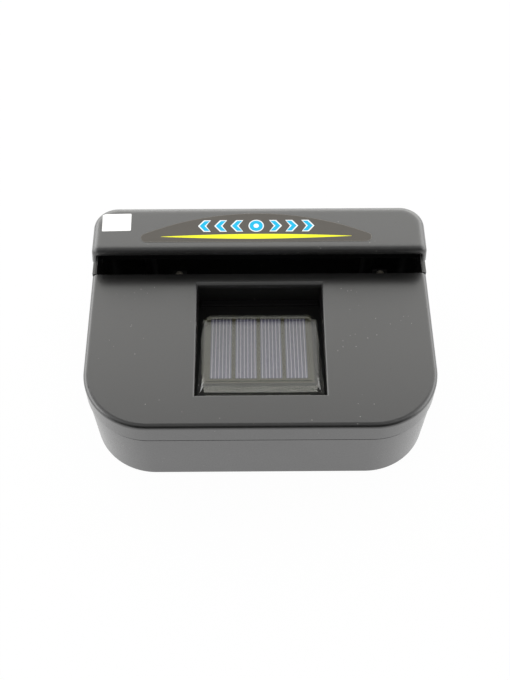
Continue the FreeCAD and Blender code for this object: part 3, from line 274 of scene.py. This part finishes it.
# %% [markdown]
# ## Floor
#
# The object lies on a white surface, with only a faint shadow under it. A matt floor would look grey,
# because the light on it is no stronger than on the object, and a floor that only glows would lose the
# shadow. So a Mix Shader takes nearly all of the glow for the eye, less of it in reflections, and fills up
# with matt white, which carries the shadow. Far in front the floor is dark in reflections, like the front
# wall.

# %% Floor
FLOOR_SIZE = 3.0                # metres, along each side
FLOOR_GAP = 0.2 * MM            # between the floor and the object's back face
FLOOR_FRONT = (-0.42, -0.20)    # in reflections the floor turns dark between these distances, to the front
FLOOR_SHINE = 0.97              # share of glow to the eye: the rest is matt and takes the shadow
FLOOR_MIRRORED = 0.62           # share of glow in reflections
FLOOR_WHITE = (0.9, 0.9, 0.9)
FLOOR_DULL = (0.05, 0.05, 0.05)


def floor_white(name):
    finish = Finish(name)
    eye = finish.add("LightPath", out="Is Camera Ray")
    close = finish.axis(finish.place(), "Y").step(*FLOOR_FRONT)
    lit = close.larger(eye)
    glow = eye * (FLOOR_SHINE - FLOOR_MIRRORED) + FLOOR_MIRRORED
    matt = finish.add("BsdfDiffuse", None, {"Color": FLOOR_WHITE})
    dull = finish.add("BsdfDiffuse", None, {"Color": FLOOR_DULL})
    shine = finish.add("Emission", None, {"Color": WHITE, "Strength": 1.0})
    ground = finish.add("MixShader", None, {0: lit, 1: dull, 2: matt})
    share = seen_directly(finish) * lit * glow
    return finish.done(finish.add("MixShader", None, {0: share, 1: ground, 2: shine}))


half = FLOOR_SIZE / 2
floor_corners = [(-half, -half, 0), (half, -half, 0), (half, half, 0), (-half, half, 0)]
floor_mesh = bpy.data.meshes.new("floor")
floor_mesh.from_pydata(floor_corners, [], [(0, 1, 2, 3)])
floor_mesh.materials.append(floor_white("floor_white"))
floor = bpy.data.objects.new("floor", floor_mesh)
bpy.context.scene.collection.objects.link(floor)
floor.location.z = cad_box[0][2] - FLOOR_GAP
print("the floor lies at", round(floor.location.z, 4), "m")

# %% [markdown]
# ## Soft panels
#
# Four rectangular lamps stand around the object, like the screens of a light tent. A high one and a low one
# stand behind it, where the upward faces mirror them together with the white room. One at each side
# brightens the round corners, the left one more than the right one. Each lamp is set by how bright its face
# looks, and its power follows from that and its area. A small strong lamp would draw a hot spot on the
# plastic instead of an even sheen.

# %% Lamps
PANEL_AIM = Vector((0, 0, 0.03))


def panel(name, place, width, height, radiance, colour=WHITE):
    """A soft rectangular lamp, in metres, aimed at the object."""
    data = bpy.data.lights.new(name, "AREA")
    data.shape = "RECTANGLE"
    data.size = width
    data.size_y = height
    data.energy = radiance * math.pi * width * height
    data.color = colour
    lamp = bpy.data.objects.new(name, data)
    bpy.context.scene.collection.objects.link(lamp)
    lamp.location = place
    lamp.rotation_euler = (PANEL_AIM - Vector(place)).to_track_quat("-Z", "Y").to_euler()
    print("the panel", name, "gives", round(data.energy, 2), "W")


panel("screen_behind", (0, 0.86, 0.70), width=2.0, height=1.1, radiance=0.55, colour=(1.0, 0.99, 0.93))
panel("skirting_behind", (0, 1.00, 0.36), width=2.2, height=0.64, radiance=1.4, colour=(1.0, 1.0, 0.97))
panel("screen_left", (-1.1, 0.2, 0.40), width=1.6, height=0.7, radiance=1.8)
panel("screen_right", (1.1, 0.2, 0.40), width=1.6, height=0.7, radiance=1.4)

# %% [markdown]
# ## Black housing plastic
#
# The shells are injection-moulded ABS. The mould was lightly sparked, which leaves a grain finer than half
# a millimetre: too fine to see as bumps, but it spreads reflections and makes the black look like velvet.
# Handling polishes the rims a little, and a few grains of dust and hairlines lie on top.
#
# The grain could be carved into the mesh, but at that size a bump does the same for nothing. The rims are
# found by comparing the true normal with one that is rounded over nearly a millimetre: where they differ,
# there is an edge. The hood's edges look softer on the real thing than its solid has them, so its shading
# alone is rounded further.
#
# The gloss has two parts, a wide one from the plastic and a narrower one from a coat over it, whose weight
# changes with a coarse grain. Both are stronger than on real ABS: at a plain level of light a true black
# would stay black, and the grey sheen is what one knows such a housing by.

# %% Plastic
GRAIN_SCALE = 2600
COARSE_GRAIN_SCALE = GRAIN_SCALE / 2.2
GRAIN_HEIGHT = 0.04 * MM
CLOUD_SCALE = 38.0
RIM_WIDTH = 0.8 * MM
RIM_ANGLES = (0.004, 0.12)      # 1 minus the cosine between the two normals, from no rim to full rim
PLASTIC_INDEX = 1.6
COAT_ROUGHNESS = 0.20
DUST_COLOUR = (0.42, 0.41, 0.38)


def scaled(colour, factor):
    return tuple(factor * part for part in colour)


def soft_normal(finish, width):
    """The surface's direction, rounded over near each edge."""
    return finish.add("Bevel", {"samples": 4}, {"Radius": width}, out="Normal")


def rim_mask(finish, width):
    """Bright along edges, dark on flat faces."""
    rounded = soft_normal(finish, width)
    true = finish.add("NewGeometry", out="Normal")
    agree = finish.add("VectorMath", {"operation": "DOT_PRODUCT"}, {0: rounded, 1: true}, out="Value")
    return (1 - agree).step(*RIM_ANGLES)


def hairlines(finish, turn, scale):
    """Thin scratches that all run about one way."""
    mapping = {"Vector": finish.place(), "Rotation": (0, 0, turn), "Scale": (scale, scale * 0.03, scale)}
    turned = finish.add("Mapping", None, mapping)
    streak = finish.noise(1.0, 3.0, 0.6, turned)
    patch = finish.noise(28.0, 1.0, 0.5)
    return streak.step(0.70, 0.74) * patch.step(0.52, 0.62)


def satin_plastic(name, colour, roughness, grain, specular=0.5, skin=0.0, marks=1.0, edge=0.0):
    """Moulded plastic. The grain and the marks of wear have strengths, specular and skin say how strongly the
    plastic and the coat reflect, and edge says how far the shading rounds the edges."""
    finish = Finish(name)
    cloud = finish.noise(CLOUD_SCALE, 3.0, 0.55)
    fine = finish.noise(GRAIN_SCALE, 1.0, 0.5)
    coarse = finish.noise(COARSE_GRAIN_SCALE, 2.0, 0.6)
    rims = rim_mask(finish, RIM_WIDTH)
    scratches = (hairlines(finish, 0.5, 900.0) + hairlines(finish, -0.9, 1300.0)) * marks
    dust = finish.specks(330.0, 0.075, 75.0, 0.56, 0.62) * marks
    pale = tuple(min(1.0, 3.2 * part + 0.02) for part in colour)
    base = finish.mix(cloud, scaled(colour, 0.82), scaled(colour, 1.18))
    base = finish.mix(rims * 0.25, base, pale)
    base = finish.mix(scratches * 0.25, base, pale)
    base = finish.mix(dust * 0.6, base, DUST_COLOUR)
    rough = roughness + (cloud - 0.5) * 0.10 + (coarse - 0.5) * 0.30
    worn = rough - rims * 0.07 - scratches * 0.05 + dust * 0.3
    rounded = soft_normal(finish, edge) if edge else None
    normal = finish.bump(fine, grain, GRAIN_HEIGHT, rounded)
    gloss = skin * (0.30 + coarse * 1.2) if skin else 0.0
    shader = finish.surface(Base_Color=base, Roughness=worn, Normal=normal, IOR=PLASTIC_INDEX,
                            Specular_IOR_Level=specular, Coat_Weight=gloss, Coat_Roughness=COAT_ROUGHNESS)
    return finish.done(shader)


print("the fine grain is about", round(1 / GRAIN_SCALE / MM, 2), "mm wide")

# %% [markdown]
# ## Six plastics
#
# One function makes every plastic of the object. The shells and the hood have the same sheen, and only the
# hood gets rounder shading. Inside, the blower's casing is a plain dark grey, the wheel a lighter one, and
# the motor's end cap is nylon in its own pale colour. The louvre in the throat and the tray below the lens
# have hardly any reflections, so that nothing shimmers in the dark there.

# %% Plastic parts
HOOD_SOFTNESS = 3.2 * MM
HOUSING_BLACK = (0.0036, 0.0035, 0.0032)
sheen = {"roughness": 0.36, "grain": 0.42, "specular": 0.85, "skin": 0.8}
dressed = []


def dress(material, *names):
    """Gives nodes of the frame a material."""
    for name in names:
        slots = nodes[name].data.materials
        slots.clear()
        slots.append(material)
        dressed.append(name)


dress(satin_plastic("housing_black", HOUSING_BLACK, **sheen), "rear_shell", "front_cover")
dress(satin_plastic("hood_black", HOUSING_BLACK, edge=HOOD_SOFTNESS, **sheen), "hood")
dress(satin_plastic("inner_black", (0.022, 0.022, 0.023), 0.5, 0.2, marks=0.3), "scroll_casing", "scroll_lid")
dress(satin_plastic("deep_black", (0.004, 0.004, 0.004), 0.55, 0.2, specular=0.03, marks=0.1),
      "outlet_louvre", "panel_tray")
dress(satin_plastic("wheel_grey", (0.07, 0.07, 0.075), 0.38, 0.1, marks=0.2), "fan_wheel")
dress(satin_plastic("end_cap_nylon", (0.62, 0.59, 0.50), 0.45, 0.1, marks=0.2), "motor_end_cap")
print("plastic is on", dressed)

# %% [markdown]
# ## Clear lens
#
# The lens is moulded acrylic, about as clear as glass, with a slightly soft surface. Light bends twice on
# its way to the cells, so the cells seem nearer than they are. A true refracting shader gives that for
# free.
#
# Its shadow is a different matter. Light that bends through clear plastic reaches what lies below only by
# chance in a path tracer, and the cells would turn black and noisy. So shadow rays pass straight through, a
# little dimmed.

# %% Lens
ACRYLIC_INDEX = 1.49
LENS_SHADOW = (0.92, 0.92, 0.92)


def size_in_mm(name):
    low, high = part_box(name)
    return [round(v / MM, 1) for v in high - low]


def clear_plastic(name, tint, roughness):
    finish = Finish(name)
    smear = finish.noise(55.0, 4.0, 0.6)
    dust = finish.specks(640.0, 0.06, 90.0, 0.50, 0.60)
    rough = roughness + smear * 0.01 + dust * 0.4
    clear = finish.surface(Base_Color=tint, Roughness=rough, IOR=ACRYLIC_INDEX, Specular_IOR_Level=0.42,
                           Transmission_Weight=1.0)
    open_way = finish.add("BsdfTransparent", None, {"Color": LENS_SHADOW})
    shadow = finish.add("LightPath", out="Is Shadow Ray")
    return finish.done(finish.add("MixShader", None, {0: shadow, 1: clear, 2: open_way}))


dress(clear_plastic("lens_acrylic", (0.90, 0.905, 0.84), 0.03), "solar_lens")
print("the lens is", size_in_mm("solar_lens"), "mm")

# %% [markdown]
# ## Silicon, silver and board
#
# A solar cell is a wafer of silicon under a thin blue-violet coating. The coating's thickness varies a
# little along the wafer, which shows as soft bands. The lines on it are silver paste, printed through a
# screen, so they are matt and slightly uneven. The board under the cells is dark laminate. The ribbons
# across the cells are tinned copper, but their colour is nearly black: painted shade, for the dark that
# lies on them under the lens. The paste's function serves for them too.

# %% Cells
def silicon(name):
    finish = Finish(name)
    band = finish.noise(60.0, 2.0, 0.5)
    grain = finish.cells(900.0)
    base = finish.mix(band, (0.095, 0.091, 0.165), (0.116, 0.111, 0.195))
    base = finish.mix(grain * 0.3, base, (0.14, 0.14, 0.21))
    rough = 0.30 + band * 0.12
    return finish.done(finish.surface(Base_Color=base, Roughness=rough, IOR=1.5, Specular_IOR_Level=0.3))


def silver_paste(name, dull, bright):
    finish = Finish(name)
    worn = finish.noise(700.0, 3.0, 0.6)
    base = finish.mix(worn, dull, bright)
    rough = 0.5 + worn * 0.2
    normal = finish.bump(worn, 0.3, 0.02 * MM)
    return finish.done(finish.surface(Base_Color=base, Roughness=rough, Metallic=0.2, Normal=normal))


def laminate(name):
    finish = Finish(name)
    weave = finish.noise(1500.0, 1.0, 0.5)
    stain = finish.noise(70.0, 3.0, 0.5)
    base = finish.mix(stain, (0.044, 0.042, 0.026), (0.056, 0.053, 0.034))
    normal = finish.bump(weave, 0.15, 0.03 * MM)
    return finish.done(finish.surface(Base_Color=base, Roughness=0.4 + stain * 0.15, Normal=normal,
                                      Specular_IOR_Level=0.2))


dress(silicon("cell_silicon"), "solar_cells")
dress(silver_paste("silver_paste", (0.37, 0.36, 0.45), (0.51, 0.50, 0.61)), "cell_fingers")
# The ribbons' nearly black colours are painted shade, not the colour of tin.
dress(silver_paste("tin_painted_shade", (0.035, 0.035, 0.035), (0.06, 0.06, 0.06)), "cell_ribbons")
dress(laminate("board_laminate"), "cell_board")
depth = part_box("solar_lens")[1].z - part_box("solar_cells")[1].z
print("the cells lie", round(depth / MM, 2), "mm below the lens's top")

# %% [markdown]
# ## Metals
#
# Screws are zinc-plated steel, with the cloudy grey of the plating. The motor's can is drawn steel with a
# brighter plating, and its working parts are copper, brass and sintered bronze. One function makes them
# all: a base colour, how dull it is, how strong the cloud in the plating is, and how deep the marks from
# the tool are. The two screws in the dark slot get a paler colour than zinc has, with small strong
# clouds, as painted glints: so they show single bright spots in the dark.

# %% Metals
def metal(name, colour, dull, cloud=0.25, marks=0.2, scale=300.0):
    finish = Finish(name)
    patch = finish.noise(scale, 4.0, 0.6)
    fine = finish.noise(scale * 9, 2.0, 0.5)
    base = finish.mix(patch, scaled(colour, 1 - cloud), colour)
    rough = dull + (patch - 0.5) * 0.25
    normal = finish.bump(fine, marks, 0.02 * MM)
    return finish.done(finish.surface(Base_Color=base, Roughness=rough, Metallic=1.0, Normal=normal))


dress(metal("zinc_plate", (0.62, 0.61, 0.58), 0.34), "tray_screws", "scroll_screws",
      "case_screws", "hood_screws", "motor_screws")
# The ear screws' pale colour with strong clouds is painted glints, not a brighter plating.
dress(metal("zinc_painted_glints", (0.90, 0.86, 0.78), 0.36, cloud=0.8, marks=1.0, scale=1400.0), "ear_screws")
dress(metal("nickel_can", (0.70, 0.69, 0.67), 0.26, scale=120.0), "motor_can")
dress(metal("ground_shaft", (0.66, 0.66, 0.67), 0.16), "motor_shaft")
dress(metal("lamination_steel", (0.42, 0.42, 0.44), 0.42), "armature_core")
dress(metal("brass_strip", (0.78, 0.60, 0.30), 0.30), "motor_terminals", "motor_brushes")
dress(metal("oiled_bronze", (0.50, 0.34, 0.18), 0.40, cloud=0.4), "motor_bushes")
dress(metal("copper_wire", (0.76, 0.36, 0.17), 0.28, scale=800.0), "armature_coils")
dress(metal("copper_bar", (0.82, 0.47, 0.32), 0.24), "commutator")
dress(metal("solder", (0.60, 0.60, 0.60), 0.30, scale=500.0), "solder_joints")
print("with the metals,", len(dressed), "of", len(nodes), "nodes are dressed")

# %% [markdown]
# ## Foam, ferrite and insulation
#
# Four small finishes for hidden pieces. Foam is a field of tiny open pores, which a cell texture gives in
# one node. Ferrite is a dense dark ceramic. The leads' insulation is smooth and a little glossy, once in
# red and once in black.

# %% Small finishes
def foam(name):
    finish = Finish(name)
    pores = finish.cells(1500.0)
    base = finish.mix(pores, (0.012, 0.012, 0.012), (0.05, 0.05, 0.05))
    normal = finish.bump(pores, 0.8, 0.2 * MM)
    return finish.done(finish.surface(Base_Color=base, Roughness=0.85 + pores * 0.1, Normal=normal))


def ferrite(name):
    finish = Finish(name)
    speck = finish.noise(900.0, 4.0, 0.6)
    base = finish.mix(speck, (0.03, 0.03, 0.032), (0.07, 0.07, 0.075))
    normal = finish.bump(speck, 0.3, 0.05 * MM)
    return finish.done(finish.surface(Base_Color=base, Roughness=0.55 + speck * 0.2, Normal=normal))


def insulation(name, colour):
    finish = Finish(name)
    soft = finish.noise(260.0, 3.0, 0.5)
    base = finish.mix(soft, scaled(colour, 0.85), colour)
    normal = finish.bump(soft, 0.2, 0.05 * MM)
    return finish.done(finish.surface(Base_Color=base, Roughness=0.32 + soft * 0.12, Normal=normal))


dress(foam("seal_foam"), "inlet_seal")
dress(ferrite("magnet_ferrite"), "motor_magnets")
dress(insulation("lead_red_pvc", (0.50, 0.02, 0.02)), "lead_red")
dress(insulation("lead_black_pvc", (0.02, 0.02, 0.02)), "lead_black")
print("with the small finishes,", len(dressed), "of", len(nodes), "nodes are dressed")

# %% [markdown]
# ## Film and label on the hood
#
# A clear film is stuck on the hood, and its glue gives the black below it a brown cast. Nothing but black
# lies below it, so it needs no see-through shader: a dark brown surface looks the same and renders with
# less noise. The film is smoother than the plastic, so it catches the light differently, and its cut rim
# shows as a thin pale line. A small white sticker sits beside it and stays blank.

# %% Film and label
FILM_RIM = 0.45 * MM
FILM_INDEX = 1.5


def clear_film(name):
    finish = Finish(name)
    glue = finish.noise(90.0, 4.0, 0.6)
    bubbles = finish.specks(420.0, 0.08, 45.0, 0.5, 0.6)
    base = finish.mix(glue, (0.050, 0.043, 0.034), (0.064, 0.055, 0.044))
    base = finish.mix(bubbles * 0.5, base, (0.12, 0.11, 0.09))
    base = finish.mix(rim_mask(finish, FILM_RIM) * 0.6, base, (0.34, 0.33, 0.29))
    rough = 0.30 + glue * 0.08
    normal = finish.bump(glue, 0.15, 0.05 * MM)
    return finish.done(finish.surface(Base_Color=base, Roughness=rough, Normal=normal, IOR=FILM_INDEX,
                                      Specular_IOR_Level=0.6))


def paper(name):
    finish = Finish(name)
    fibre = finish.noise(1800.0, 4.0, 0.7)
    grime = finish.noise(160.0, 3.0, 0.5)
    base = finish.mix(grime, (0.90, 0.90, 0.89), (0.96, 0.96, 0.95))
    normal = finish.bump(fibre, 0.15, 0.03 * MM)
    return finish.done(finish.surface(Base_Color=base, Roughness=0.55 + fibre * 0.15, Normal=normal))


dress(clear_film("film_clear"), "hood_decal")
dress(paper("label_white"), "blank_label")
print("the film is", size_in_mm("hood_decal")[0], "mm long, and", len(dressed), "nodes are dressed")

# %% [markdown]
# ## Printed shapes
#
# The print is a generic pattern for moving air: a long yellow spindle, and over it a row of cyan arrows
# with white outlines that point away from a ring in the middle. Ink could be a mask in the film's shader,
# but a real print stands a few hundredths of a millimetre proud and has sharp edges at any distance. So
# each shape is cut as a very thin closed plate. The white outlines lie lowest, the cyan shapes reach a
# little higher, and the dot in the ring lies on top.

# %% Ink
def ink(name, colour, dull=0.5):
    finish = Finish(name)
    cover = finish.noise(420.0, 3.0, 0.6)
    base = finish.mix(cover, scaled(colour, 0.93), colour)
    normal = finish.bump(cover, 0.1, 0.02 * MM)
    return finish.done(finish.surface(Base_Color=base, Roughness=dull + cover * 0.1, Normal=normal,
                                      Specular_IOR_Level=0.2))


yellow_ink = ink("ink_yellow", (0.93, 0.93, 0.03))
cyan_ink = ink("ink_cyan", (0.008, 0.48, 0.78))
white_ink = ink("ink_white", (0.85, 0.90, 0.92))
print("three inks are mixed")

# %% Plates of ink
INK_LAYER = 0.01 * MM
film_low, film_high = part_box("hood_decal")
film_middle = (film_low + film_high) / 2


def cut_plate(name, outlines, first, layers, material):
    """One closed plate for each outline, in one object, above as many layers of ink as first says."""
    base = film_high.z + first * INK_LAYER
    mesh = bpy.data.meshes.new(name)
    work = bmesh.new()
    for outline in outlines:
        face = work.faces.new([work.verts.new((x, y, base)) for x, y in outline])
        if face.normal.z < 0:
            face.normal_flip()
        grown = bmesh.ops.extrude_face_region(work, geom=[face])
        risen = [item for item in grown["geom"] if isinstance(item, bmesh.types.BMVert)]
        bmesh.ops.translate(work, vec=(0, 0, layers * INK_LAYER), verts=risen)
    bmesh.ops.recalc_face_normals(work, faces=work.faces)
    work.to_mesh(mesh)
    work.free()
    plate = bpy.data.objects.new(name, mesh)
    bpy.context.scene.collection.objects.link(plate)
    mesh.materials.append(material)
    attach(plate, "housing")
    print(name, "has", len(outlines), "plates of", round(layers * INK_LAYER / MM, 2), "mm")


print("the ink starts at", round(film_high.z / MM, 2), "mm")


# %% [markdown]
# ## Yellow spindle
#
# The longest shape of the print is a thin bar that swells in the middle and runs out to points, like a
# streak of wind. It could be drawn point by point. A formula for its half width keeps both halves equal,
# and one number says how full it looks.

# %% Yellow spindle
SPINDLE_HALF_LENGTH = 48 * MM
SPINDLE_HALF_WIDTH = 1.5 * MM
SPINDLE_TIP = 0.05 * MM         # half the width that is left at each end
SPINDLE_FULLNESS = 1.8          # 2 gives a parabola, and 1 straight sides
SPINDLE_RISE = 3.4 * MM         # above the film's near edge


def spindle(centre, half_length, half_width, count=48):
    """A bar that is widest in the middle and runs out to points."""
    places = [-1 + 2 * i / count for i in range(count + 1)]
    widths = [half_width * (1 - abs(p) ** SPINDLE_FULLNESS) + SPINDLE_TIP for p in places]
    top = [(centre[0] + half_length * p, centre[1] + w) for p, w in zip(places, widths)]
    bottom = [(centre[0] + half_length * p, centre[1] - w) for p, w in zip(places, widths)]
    return bottom + top[::-1]


spindle_centre = (film_middle.x, film_low.y + SPINDLE_RISE)
spindle_outline = spindle(spindle_centre, SPINDLE_HALF_LENGTH, SPINDLE_HALF_WIDTH)
cut_plate("print_spindle", [spindle_outline], 0, 3, yellow_ink)

# %% [markdown]
# ## Arrows and ring
#
# Three arrows on each side point away from a ring, as air that is blown outwards. Each is a chevron with
# six corners, made by one function. Called with a margin, the same function gives the wider white shape
# below it. A corner has to move further than a straight side for the white border to look even, so each
# kind of corner has a share of its own.

# %% Arrows and ring
ARROW_COUNT = 3                 # on each side of the ring
ARROW_START = 8.4 * MM          # from the ring's middle to the first arrow
ARROW_PITCH = 8.2 * MM
ARROW_HEIGHT = 6.4 * MM
ARROW_DEPTH = 2.6 * MM          # from the arrow's ends to its tip
ARROW_WIDTH = 2.5 * MM          # of the bar that the arrow is bent from
OUTLINE_WIDTH = 0.55 * MM
TIP_GROWTH = 1.5                # how far an outline's corners move out, as shares of its width
TAIL_GROWTH = 1.1
SHOULDER_GROWTH = 0.9
RING_RADIUS = 3.35 * MM
HUB_RADIUS = 1.35 * MM
ROW_RISE = 1.0 * MM             # of the row of arrows over the film's middle


def arrow(x, y, way, grow=0.0):
    """A chevron that points to the left or right, grown outwards by grow."""
    half = ARROW_HEIGHT / 2 + grow
    tail = -ARROW_WIDTH / 2 - grow * TAIL_GROWTH
    shoulder = ARROW_WIDTH / 2 + grow * SHOULDER_GROWTH
    tip = ARROW_DEPTH + ARROW_WIDTH / 2 + grow * TIP_GROWTH
    inside = ARROW_DEPTH - ARROW_WIDTH / 2 - grow * TIP_GROWTH
    points = [(tail, half), (shoulder, half), (tip, 0), (shoulder, -half), (tail, -half), (inside, 0)]
    return [(x + way * px, y + py) for px, py in points]


def circle(x, y, radius, count=40):
    turn = [2 * math.pi * i / count for i in range(count)]
    return [(x + radius * math.cos(a), y + radius * math.sin(a)) for a in turn]


row_y = film_middle.y + ROW_RISE
fills = []
edges = []
for way in (-1, 1):
    for i in range(ARROW_COUNT):
        x = film_middle.x + way * (ARROW_START + i * ARROW_PITCH)
        fills.append(arrow(x, row_y, way))
        edges.append(arrow(x, row_y, way, grow=OUTLINE_WIDTH))
edges.append(circle(film_middle.x, row_y, RING_RADIUS + OUTLINE_WIDTH))
fills.append(circle(film_middle.x, row_y, RING_RADIUS))
cut_plate("print_outlines", edges, 0, 3, white_ink)
cut_plate("print_arrows", fills, 1, 4, cyan_ink)
cut_plate("print_hub", [circle(film_middle.x, row_y, HUB_RADIUS)], 2, 5, white_ink)
